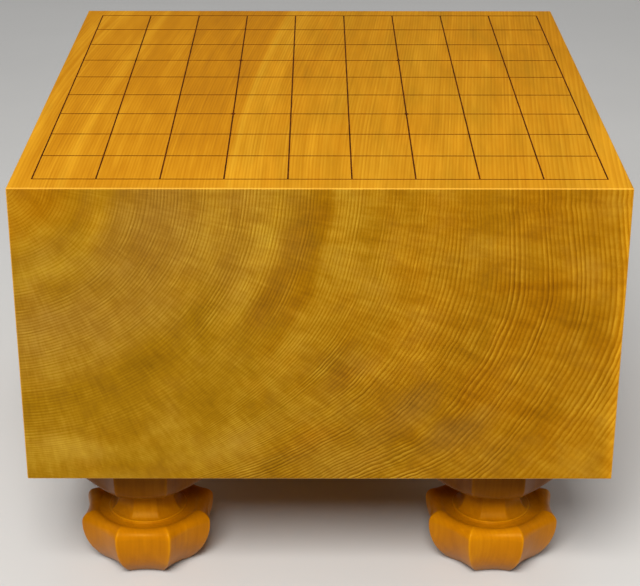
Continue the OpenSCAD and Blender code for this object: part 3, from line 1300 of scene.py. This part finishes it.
@dataclass
class LacquerWork:
    """The ruled field: raised beads of lacquer and four drops on crossings."""

    lacquer: bpy.types.Material
    cells: int = 9
    cell_w: float = 35.5 * MM
    cell_l: float = 38.7 * MM
    file_w: float = 0.9 * MM
    rank_w: float = 0.75 * MM
    bead_h: float = 0.22 * MM
    bead_sides: int = 16
    bead_steps: int = 60
    star_cells: int = 3
    star_d: float = 2.8 * MM
    star_h: float = 0.5 * MM
    star_segments: int = 32
    star_rings: int = 16

    def beads(
        self, carving: Carving, name: str, count: int, length: float, spacing: float, width: float
    ) -> Field:
        """Lays one set of parallel beads along Y, side by side along X.

        Args:
            carving: The tree to add to.
            name: The set's name, which its inputs start with.
            count: How many beads.
            length: The length of each.
            spacing: The distance from one to the next.
            width: The width of each at the wood.

        Returns:
            The beads' geometry.
        """
        sheet = carving.sheet
        count_in = carving.size(f"{name} count", count)
        length_in = carving.size(f"{name} length", length)
        spacing_in = carving.size(f"{name} spacing", spacing)
        width_in = carving.size(f"{name} width", width)
        height_in = carving.size(f"{name} height", self.bead_h)
        half = length_in * 0.5
        near, far = sheet.combine(0.0, -half, 0.0), sheet.combine(0.0, half, 0.0)
        line = sheet.node("GeometryNodeCurvePrimitiveLine", Start=near, End=far)
        fine = sheet.node("GeometryNodeResampleCurve", Curve=sheet.out(line), Count=self.bead_steps)
        oval = sheet.node("GeometryNodeCurvePrimitiveCircle", Resolution=self.bead_sides, Radius=1.0)
        half_round = sheet.combine(width_in * 0.5, height_in, 1.0)
        section = sheet.node("GeometryNodeTransform", Geometry=sheet.out(oval), Scale=half_round)
        bead = sheet.node(
            "GeometryNodeCurveToMesh", Curve=sheet.out(fine), Profile_Curve=sheet.out(section), Fill_Caps=True
        )
        first = (count_in - 1.0) * spacing_in * -0.5
        row = sheet.node(
            "GeometryNodeMeshLine",
            {"mode": "OFFSET"},
            Count=count_in,
            Start_Location=sheet.combine(first, 0.0, 0.0),
            Offset=sheet.combine(spacing_in, 0.0, 0.0),
        )
        copies = sheet.node("GeometryNodeInstanceOnPoints", Points=sheet.out(row), Instance=sheet.out(bead))
        return sheet.out(copies)

    def rule(self, top: float) -> bpy.types.Object:
        """Builds the ruled lines.

        Args:
            top: The height of the wood's upper face.

        Returns:
            The piece.
        """
        carving = Carving("ruled_beads")
        sheet = carving.sheet
        field_w, field_l = self.cells * self.cell_w, self.cells * self.cell_l
        lines, file_l, rank_l = self.cells + 1, field_l + self.rank_w / 2, field_w + self.file_w / 2
        files = self.beads(carving, "File", lines, file_l, self.cell_w, self.file_w)
        ranks = self.beads(carving, "Rank", lines, rank_l, self.cell_l, self.rank_w)
        turned = sheet.node("GeometryNodeTransform", Geometry=ranks, Rotation=(0.0, 0.0, math.pi / 2))
        joined = sheet.node("GeometryNodeJoinGeometry")
        self.tie(sheet, joined, (files, sheet.out(turned)))
        raised = sheet.node("GeometryNodeTransform", Geometry=sheet.out(joined), Translation=(0.0, 0.0, top))
        carving.finish(sheet.out(raised), self.lacquer)
        return new_piece("ruled_lines", carving.run(bpy.data.meshes.new("ruled_lines")))

    def drops(self, top: float) -> bpy.types.Object:
        """Builds the four star points.

        Args:
            top: The height of the wood's upper face.

        Returns:
            The piece.
        """
        carving = Carving("star_drops")
        sheet = carving.sheet
        apart_x = carving.size("Apart along X", (self.cells - 2 * self.star_cells) * self.cell_w)
        apart_y = carving.size("Apart along Y", (self.cells - 2 * self.star_cells) * self.cell_l)
        width = carving.size("Drop width", self.star_d)
        height = carving.size("Drop height", self.star_h)
        corners = sheet.node(
            "GeometryNodeMeshGrid", Size_X=apart_x, Size_Y=apart_y, Vertices_X=2, Vertices_Y=2
        )
        ball = sheet.node(
            "GeometryNodeMeshUVSphere", Segments=self.star_segments, Rings=self.star_rings, Radius=1.0
        )
        half_round = sheet.combine(width * 0.5, width * 0.5, height)
        drop = sheet.node("GeometryNodeTransform", Geometry=sheet.out(ball, "Mesh"), Scale=half_round)
        copies = sheet.node(
            "GeometryNodeInstanceOnPoints", Points=sheet.out(corners, "Mesh"), Instance=sheet.out(drop)
        )
        raised = sheet.node("GeometryNodeTransform", Geometry=sheet.out(copies), Translation=(0.0, 0.0, top))
        carving.finish(sheet.out(raised), self.lacquer)
        return new_piece("star_drops", carving.run(bpy.data.meshes.new("star_drops")))

    @staticmethod
    def tie(sheet: Sheet, joined: bpy.types.Node, parts: Iterable[Field]) -> None:
        """Links several geometries to one Join Geometry node."""
        for part in parts:
            sheet.tree.links.new(part.socket, joined.inputs[0])

    def build(self) -> None:
        """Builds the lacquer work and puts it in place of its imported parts."""
        lines, stars = self.rule(BLOCK_HIGH.z), self.drops(BLOCK_HIGH.z)
        for piece, node in ((lines, "lacquer_lines"), (stars, "star_points")):
            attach(piece, "block")
            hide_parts(node)
            report(piece)


@dataclass(frozen=True)
class ProfilePoint:
    """One level of a leg, in millimetres.

    The point lies on the ridge between two faces, drawn at half the width across the flats. A facet of 1
    makes the level eight-sided and 0 makes it round. The cuts say how far the gouge takes the middle of a
    face inwards and downwards from there, and the last value says how far the level is lightened, partly
    as wear and partly as a painted highlight.
    """

    reach: float
    height: float
    facet: float = 1.0
    cut_in: float = 0.0
    cut_down: float = 0.0
    worn: float = 0.0


@dataclass(frozen=True)
class Gouge:
    """The round gouge that hollows the faces: it reaches both ridges of the widest face at its full depth."""

    widest_mm: float
    depth_mm: float
    half_turn: float = math.radians(22.5)
    # A level's depth and reach depend on each other, and after so many tries they agree
    tries: int = 6

    @property
    def radius_mm(self) -> float:
        """The radius of its sweep across a face."""
        half = self.widest_mm * math.tan(self.half_turn)
        return (half ** 2 + self.depth_mm ** 2) / (2 * self.depth_mm)

    def depth_at(self, reach: float) -> float:
        """How deep its cut is in a face whose half width across the flats is the reach."""
        half = reach * math.tan(self.half_turn)
        return self.radius_mm - math.sqrt(self.radius_mm ** 2 - half ** 2)

    def level(self, x: float, z: float, out_x: float, out_z: float) -> ProfilePoint:
        """Finds the ridge that belongs to one place of the cut.

        Args:
            x, z: The lowest place of the cut, in the middle of a face.
            out_x, out_z: The direction straight out of the wood there.

        Returns:
            The level's point.
        """
        reach = x
        for _ in range(self.tries):
            reach = x + self.depth_at(reach) * out_x
        depth = self.depth_at(reach)
        return ProfilePoint(reach, z + depth * out_z, 1.0, depth * out_x, depth * out_z)


@dataclass
class CarvedLeg:
    """One leg in the shape of a gardenia fruit: a lathe profile cut to eight hollowed faces."""

    corner: Corner
    wood: bpy.types.Material
    inset_side: float = 63.0 * MM
    inset_end: float = 65.5 * MM
    height_mm: float = 90.0
    foot_mm: float = 24.4
    foot_ease_mm: float = 0.8
    fruit_mm: float = 40.6
    fruit_z_mm: float = 30.5
    shoulder_mm: float = 7.5
    shoulder_over: float = math.radians(36.0)
    hollow_mm: float = 2.6
    moat_gap_mm: float = 0.3
    ring_mm: float = 24.5
    ring_rise_mm: float = 0.2
    ring_z_mm: float = 35.6
    ring_step_mm: float = 1.4
    ring_ease_mm: float = 0.8
    ring_ledge_mm: float = 0.3
    neck_mm: float = 17.0
    flare_mm: float = 13.0
    cap_mm: float = 40.0
    cap_lean_deg: float = 4.0
    cap_side_z_mm: float = 66.0
    cap_edge_mm: float = 11.0
    under_rise_deg: float = 15.0
    under_round_mm: float = 4.5
    # The cap's underside is turned round, so that each face above it ends in an arch between these two turns
    arch_from: float = math.radians(-68.0)
    arch_to: float = math.radians(-18.0)
    arch_flat: float = 0.45
    tenon_w: float = 34.0 * MM
    tenon_l: float = 36.0 * MM
    tenon_bevel: float = 1.5 * MM
    tenon_root: float = 1.0 * MM
    faces: int = 8
    segments: int = 224
    # Keeps a column that stands on the border of two faces in the second one
    column_nudge: float = 0.0001
    ridge_ease_deg: float = 0.8
    # Wear and a painted highlight show on the ridges of the fruit and die away where the leg is thinner
    ridge_wear_mm: float = 0.7
    ridge_wear_power: float = 4.0
    # The levels on the flat foot and top, as shares of their reach, and on the foot's eased edge
    foot_shares: tuple[float, ...] = (0.0, 0.5, 0.8)
    foot_edge: tuple[tuple[float, float], ...] = ((1.0, 0.0), (0.45, 0.12), (0.12, 0.45))
    top_shares: tuple[float, ...] = (0.85, 0.5, 0.0)
    # How many steps each stretch of the outline takes
    side_steps: int = 26
    shoulder_steps: int = 24
    moat_steps: int = 10
    ring_steps: int = 5
    flare_steps: int = 14
    under_steps: int = 8
    edge_steps: int = 20
    cap_steps: int = 6
    profile: list[ProfilePoint] = field(default_factory=list)

    @staticmethod
    def steps(start: float, end: float, count: int) -> list[float]:
        """Evenly spaced values from one to another, with both ends."""
        return [start + (end - start) * i / count for i in range(count + 1)]

    def add(self, *points: ProfilePoint) -> None:
        """Adds levels to the profile."""
        self.profile.extend(points)

    def draw_fruit(self) -> None:
        """Draws the fruit from the middle of the foot, up its side and over its shoulder to the moat."""
        gouge = Gouge(self.fruit_mm, self.hollow_mm)
        foot_cut = gouge.depth_at(self.foot_mm)
        for share in self.foot_shares:
            self.add(ProfilePoint(self.foot_mm * share, 0.0, 1.0, foot_cut * share))
        swell = (self.fruit_mm - self.hollow_mm) - (self.foot_mm - foot_cut)
        side_r = (swell ** 2 + self.fruit_z_mm ** 2) / (2 * swell)
        side_x = self.fruit_mm - self.hollow_mm - side_r
        ease = self.foot_ease_mm
        for in_share, up_share in self.foot_edge:
            self.add(ProfilePoint(self.foot_mm - ease * in_share, ease * up_share, 1.0, foot_cut))
        low = -math.asin((self.fruit_z_mm - ease) / side_r)
        for turn in self.steps(low, 0.0, self.side_steps):
            out_x, out_z = math.cos(turn), math.sin(turn)
            self.add(gouge.level(side_x + side_r * out_x, self.fruit_z_mm + side_r * out_z, out_x, out_z))
        roll_r = self.shoulder_mm - self.hollow_mm
        shoulder_x = self.fruit_mm - self.shoulder_mm
        for turn in self.steps(0.0, math.pi / 2 + self.shoulder_over, self.shoulder_steps)[1:]:
            out_x, out_z = math.cos(turn), math.sin(turn)
            self.add(gouge.level(shoulder_x + roll_r * out_x, self.fruit_z_mm + roll_r * out_z, out_x, out_z))
        self.draw_moat(self.profile[-1])

    def draw_moat(self, back: ProfilePoint) -> None:
        """Draws the moat, whose faces and cuts die away from the shoulder to the ring.

        Args:
            back: The last level of the shoulder.
        """
        moat, stop = self.ring_z_mm - self.ring_step_mm, self.ring_mm + self.moat_gap_mm
        for share in self.steps(0.0, 1.0, self.moat_steps)[1:]:
            left = 1.0 - share
            reach = back.reach + (stop - back.reach) * share
            height = moat + (back.height - moat) * left ** 2
            self.add(ProfilePoint(reach, height, left, back.cut_in * left, back.cut_down * left))

    def draw_ring(self) -> None:
        """Draws the turned ring with its eased upper edge."""
        moat = self.ring_z_mm - self.ring_step_mm
        ease = self.ring_ease_mm
        self.add(ProfilePoint(self.ring_mm, moat + self.ring_rise_mm, 0.0))
        for turn in self.steps(0.0, math.pi / 2, self.ring_steps):
            reach = self.ring_mm - ease + ease * math.cos(turn)
            height = self.ring_z_mm - ease + ease * math.sin(turn)
            # The ring's eased edge is lightened most halfway round, as a painted highlight
            self.add(ProfilePoint(reach, height, 0.0, worn=math.sin(2 * turn)))

    def draw_neck(self) -> None:
        """Draws the eight-sided neck: its flare above the ring and the round under the cap."""
        flare_x = self.neck_mm + self.flare_mm
        base = (self.ring_mm - self.ring_ease_mm - self.ring_ledge_mm) * math.cos(math.pi / self.faces)
        reach = math.acos((flare_x - base) / self.flare_mm)
        flare_z = self.ring_z_mm + self.flare_mm * math.sin(reach)
        for turn in self.steps(math.pi + reach, math.pi, self.flare_steps):
            out_x, out_z = math.cos(turn), math.sin(turn)
            self.add(ProfilePoint(flare_x + self.flare_mm * out_x, flare_z + self.flare_mm * out_z))

    def draw_cap(self) -> None:
        """Draws the cap: its underside, its rounded edge and its leaning, hollowed side up to the block."""
        rise, lean = math.radians(self.under_rise_deg), math.radians(self.cap_lean_deg)
        low = self.cap_mm - (self.height_mm - self.cap_side_z_mm) * math.tan(lean)
        edge_x = low - self.cap_edge_mm * math.cos(lean)
        edge_z = self.cap_side_z_mm + self.cap_edge_mm * math.sin(lean)
        round_x = self.neck_mm + self.under_round_mm
        run = edge_x + self.cap_edge_mm * math.sin(rise) - (round_x - self.under_round_mm * math.sin(rise))
        round_z = edge_z - (self.cap_edge_mm + self.under_round_mm) * math.cos(rise) - run * math.tan(rise)
        for turn in self.steps(math.pi, math.pi / 2 + rise, self.under_steps):
            x = round_x + self.under_round_mm * math.cos(turn)
            z = round_z + self.under_round_mm * math.sin(turn)
            self.add(ProfilePoint(x, z, -math.cos(turn)))
        depth = Gouge(self.fruit_mm, self.hollow_mm).depth_at(low)
        for turn in self.steps(rise - math.pi / 2, -lean, self.edge_steps):
            x = edge_x + self.cap_edge_mm * math.cos(turn)
            z = edge_z + self.cap_edge_mm * math.sin(turn)
            side = low + (z - self.cap_side_z_mm) * math.tan(lean)
            rising = smooth((turn - self.arch_from) / (self.arch_to - self.arch_from))
            flat = self.arch_flat + (1.0 - self.arch_flat) * rising
            self.add(ProfilePoint(x, z, flat, max(0.0, x - side + depth)))
        for z in self.steps(self.cap_side_z_mm, self.height_mm, self.cap_steps)[1:]:
            self.add(ProfilePoint(low + (z - self.cap_side_z_mm) * math.tan(lean), z, 1.0, depth))
        for share in self.top_shares:
            self.add(ProfilePoint(self.cap_mm * share, self.height_mm, 1.0, depth * share))

    def outline_mesh(self) -> bpy.types.Mesh:
        """Turns the profile into a chain of points that carry their facet and their cut.

        Returns:
            The chain, in metres.
        """
        mesh = bpy.data.meshes.new("leg_outline")
        points = [(point.reach * MM, 0.0, point.height * MM) for point in self.profile]
        mesh.from_pydata(points, [(i, i + 1) for i in range(len(points) - 1)], [])
        for name, values in (
            ("facet", [point.facet for point in self.profile]),
            ("cut_in", [point.cut_in * MM for point in self.profile]),
            ("cut_down", [point.cut_down * MM for point in self.profile]),
            (WEAR_AND_HIGHLIGHT, [point.worn for point in self.profile]),
        ):
            mesh.attributes.new(name, "FLOAT", "POINT").data.foreach_set("value", values)
        return mesh

    def carve(self, x: float, y: float) -> bpy.types.Mesh:
        """Sweeps the outline round the leg's axis and cuts its faces.

        Args:
            x, y: Where the axis stands.

        Returns:
            The leg without its tenon.
        """
        carving = Carving("fruit_leg")
        sheet = carving.sheet
        faces = carving.size("Faces", self.faces)
        segments = carving.size("Segments", self.segments)
        ease = carving.size("Ridge ease", math.radians(self.ridge_ease_deg))
        axis_x = carving.size("Axis X", x)
        axis_y = carving.size("Axis Y", y)
        outline = sheet.out(carving.given, "Geometry")
        counted = sheet.node("GeometryNodeAttributeDomainSize", {"component": "MESH"}, Geometry=outline)
        rows, columns = sheet.out(counted, "Point Count"), segments + 1.0
        grid = sheet.node("GeometryNodeMeshGrid", Size_X=1.0, Size_Y=1.0, Vertices_X=columns, Vertices_Y=rows)
        across, along, _ = sheet.split(sheet.out(sheet.node("GeometryNodeInputPosition")))
        row = ((along + 0.5) * (rows - 1.0)).math("ROUND")

        def sampled(kind: str, value: Field) -> Field:
            """Reads a value of the outline at this level."""
            settings = {"data_type": kind, "domain": "POINT"}
            return sheet.out(
                sheet.node("GeometryNodeSampleIndex", settings, Geometry=outline, Value=value, Index=row)
            )

        def carried(name: str) -> Field:
            """A value that the outline's points carry."""
            node = sheet.node("GeometryNodeInputNamedAttribute", {"data_type": "FLOAT"}, Name=name)
            return sampled("FLOAT", sheet.out(node))

        place = sampled("FLOAT_VECTOR", sheet.out(sheet.node("GeometryNodeInputPosition")))
        reach, _, height = sheet.split(place)
        facet, cut_in, cut_down = carried("facet"), carried("cut_in"), carried("cut_down")
        worn = carried(WEAR_AND_HIGHLIGHT)
        half = faces.math("MAXIMUM", 3.0).math("POWER", -1.0) * math.pi
        position = (across + 0.5) * faces
        face = (position + self.column_nudge).math("FLOOR").math("MINIMUM", faces - 1.0)
        # Columns crowd together towards the ridges, where the wood turns fastest
        off = half * ((position - face - 0.5) * math.pi).math("SINE")
        turn = face * half * 2.0 + off
        from_ridge = half - off.math("ABSOLUTE")
        eased = (half - (from_ridge * from_ridge + ease * ease).math("SQRT")).math("MAXIMUM", 0.0)
        ratio = eased.math("TANGENT") / half.math("TANGENT")
        bite = 1.0 - ratio * ratio
        flat = (reach - cut_in * bite) / eased.math("COSINE")
        radius = sheet.lerp(facet, reach, flat)
        spot_x = radius * turn.math("COSINE") + axis_x
        spot_y = radius * turn.math("SINE") + axis_y
        spot = sheet.combine(spot_x, spot_y, height - cut_down * bite)
        # The ridges of the fruit are lightened as wear and a painted highlight
        bulk = (reach / (self.fruit_mm * MM)).math("POWER", self.ridge_wear_power)
        ridge = (reach * from_ridge).bell(0.0, self.ridge_wear_mm * MM) * facet * bulk
        marked = sheet.node(
            "GeometryNodeStoreNamedAttribute",
            {"data_type": "FLOAT", "domain": "POINT"},
            Geometry=sheet.out(grid, "Mesh"),
            Name=WEAR_AND_HIGHLIGHT,
            Value=worn.math("MAXIMUM", ridge),
        )
        moved = sheet.node("GeometryNodeSetPosition", Geometry=sheet.out(marked), Position=spot)
        closed = sheet.node("GeometryNodeMergeByDistance", Geometry=sheet.out(moved), Distance=2 * WELD)
        carving.finish(sheet.out(closed), self.wood)
        return carving.run(self.outline_mesh())

    def add_tenon(self, mesh: bpy.types.Mesh, x: float, y: float) -> None:
        """Joins the square tenon to the top of the leg.

        Args:
            mesh: The leg's mesh, which is changed.
            x, y: Where the leg's axis stands.
        """
        work = bmesh.new()
        work.from_mesh(mesh)
        wood_index = mesh.polygons[0].material_index
        made = bmesh.ops.create_cube(work, size=1.0)
        lift = self.height_mm * MM + self.tenon_l / 2 - self.tenon_root / 2
        size = Matrix.Diagonal((self.tenon_w, self.tenon_w, self.tenon_l + self.tenon_root, 1.0))
        bmesh.ops.transform(work, matrix=Matrix.Translation((x, y, lift)) @ size, verts=made["verts"])
        edges = {edge for vert in made["verts"] for edge in vert.link_edges}
        bmesh.ops.bevel(work, geom=list(edges), offset=self.tenon_bevel, segments=1, affect="EDGES")
        for face in work.faces:
            face.material_index = wood_index
        work.to_mesh(mesh)
        work.free()

    def build(self) -> None:
        """Builds the leg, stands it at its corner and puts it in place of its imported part."""
        side, end = self.corner.value
        x = side * (BLOCK_HIGH.x - self.inset_side)
        y = end * (BLOCK_HIGH.y - self.inset_end)
        self.draw_fruit()
        self.draw_ring()
        self.draw_neck()
        self.draw_cap()
        mesh = self.carve(x, y)
        self.add_tenon(mesh, x, y)
        piece = new_piece(f"carved_{self.corner.node}", mesh)
        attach(piece, self.corner.body)
        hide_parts(self.corner.node)
        report(piece)


@dataclass
class SoftBox:
    """A square studio lamp with its place, its aim, its size and its power."""

    name: str
    place: tuple[float, float, float]
    aim: tuple[float, float, float]
    side: float
    watts: float
    colour: Colour = WHITE

    def hang(self) -> None:
        """Hangs the lamp in the scene."""
        lamp = bpy.data.lights.new(self.name, "AREA")
        lamp.shape = "SQUARE"
        lamp.size = self.side
        lamp.energy = self.watts
        lamp.color = self.colour
        holder = bpy.data.objects.new(self.name, lamp)
        holder.location = self.place
        holder.rotation_euler = (Vector(self.aim) - Vector(self.place)).to_track_quat("-Z", "Y").to_euler()
        bpy.context.scene.collection.objects.link(holder)


@dataclass
class Studio:
    """The pale floor, the soft light and the camera."""

    floor_side: float = 16.0
    sky: Colour = (0.80, 0.82, 0.86)
    sky_strength: float = 0.4
    # The ceiling begins at this sine of the height over the horizon. Below it the light blends down to the
    # walls' own, which is this share of the ceiling's
    wall_top: float = 0.62
    wall_blend: float = 0.3
    wall_share: float = 0.15
    camera_place: tuple[float, float, float] = (-0.000812, -1.080464, 0.605938)
    camera_turn: tuple[float, float, float] = (1.15296, -0.00113, -0.00054)
    lens: float = 97.82
    sensor: float = 36.0
    sight: float = 60.0
    lamps: tuple[SoftBox, ...] = (
        SoftBox("key_lamp", (-0.25, -1.75, 1.78), (0.0, -0.1, 0.12), 0.95, 76.0),
        SoftBox("fill_lamp", (1.6, -1.4, 1.0), (0.0, 0.0, 0.15), 1.0, 2.0),
        SoftBox("top_lamp", (0.2, 0.6, 1.9), (0.0, 0.0, 0.2), 1.4, 6.0),
    )

    def lay_floor(self) -> None:
        """Lays the floor under the board."""
        half = self.floor_side / 2
        mesh = bpy.data.meshes.new("floor")
        corners = [(-half, -half, 0.0), (half, -half, 0.0), (half, half, 0.0), (-half, half, 0.0)]
        mesh.from_pydata(corners, [], [(0, 1, 2, 3)])
        mesh.materials.append(StudioPaint().build())
        floor = new_piece("floor", mesh)

    def fill_sky(self) -> None:
        """Fills the room with even light."""
        world = bpy.data.worlds.new("studio")
        world.use_nodes = True
        sheet = Sheet(world.node_tree)
        background = world.node_tree.nodes["Background"]
        background.inputs["Color"].default_value = (*self.sky, 1.0)
        _, _, up = sheet.split(sheet.out(sheet.node("ShaderNodeTexCoord"), "Generated"))
        ceiling = up.fade(self.wall_top - self.wall_blend, self.wall_top)
        strength = sheet.lerp(ceiling, self.sky_strength * self.wall_share, self.sky_strength)
        feed(world.node_tree, background.inputs["Strength"], strength)
        bpy.context.scene.world = world

    def set_camera(self) -> None:
        """Stands the camera where the photograph was taken from."""
        lens = bpy.data.cameras.new("camera")
        lens.lens = self.lens
        lens.sensor_width = self.sensor
        lens.sensor_fit = "HORIZONTAL"
        lens.clip_end = self.sight
        camera = bpy.data.objects.new("camera", lens)
        camera.location = self.camera_place
        camera.rotation_euler = self.camera_turn
        bpy.context.scene.collection.objects.link(camera)
        bpy.context.scene.camera = camera

    def build(self) -> None:
        """Builds the studio."""
        self.lay_floor()
        self.fill_sky()
        for lamp in self.lamps:
            lamp.hang()
        self.set_camera()
        bpy.context.scene.view_settings.view_transform = "Standard"


def main() -> None:
    """Builds the studio and every sub-assembly of the board, in order."""
    logging.basicConfig(level=logging.INFO, format="%(name)s: %(message)s")
    Studio().build()
    BoardBlock(BoardWood().build()).dress()
    LacquerWork(Lacquer().build()).build()
    leg_wood = LegWood().build()
    for corner in Corner:
        CarvedLeg(corner, leg_wood).build()


if __name__ == "__main__":
    main()
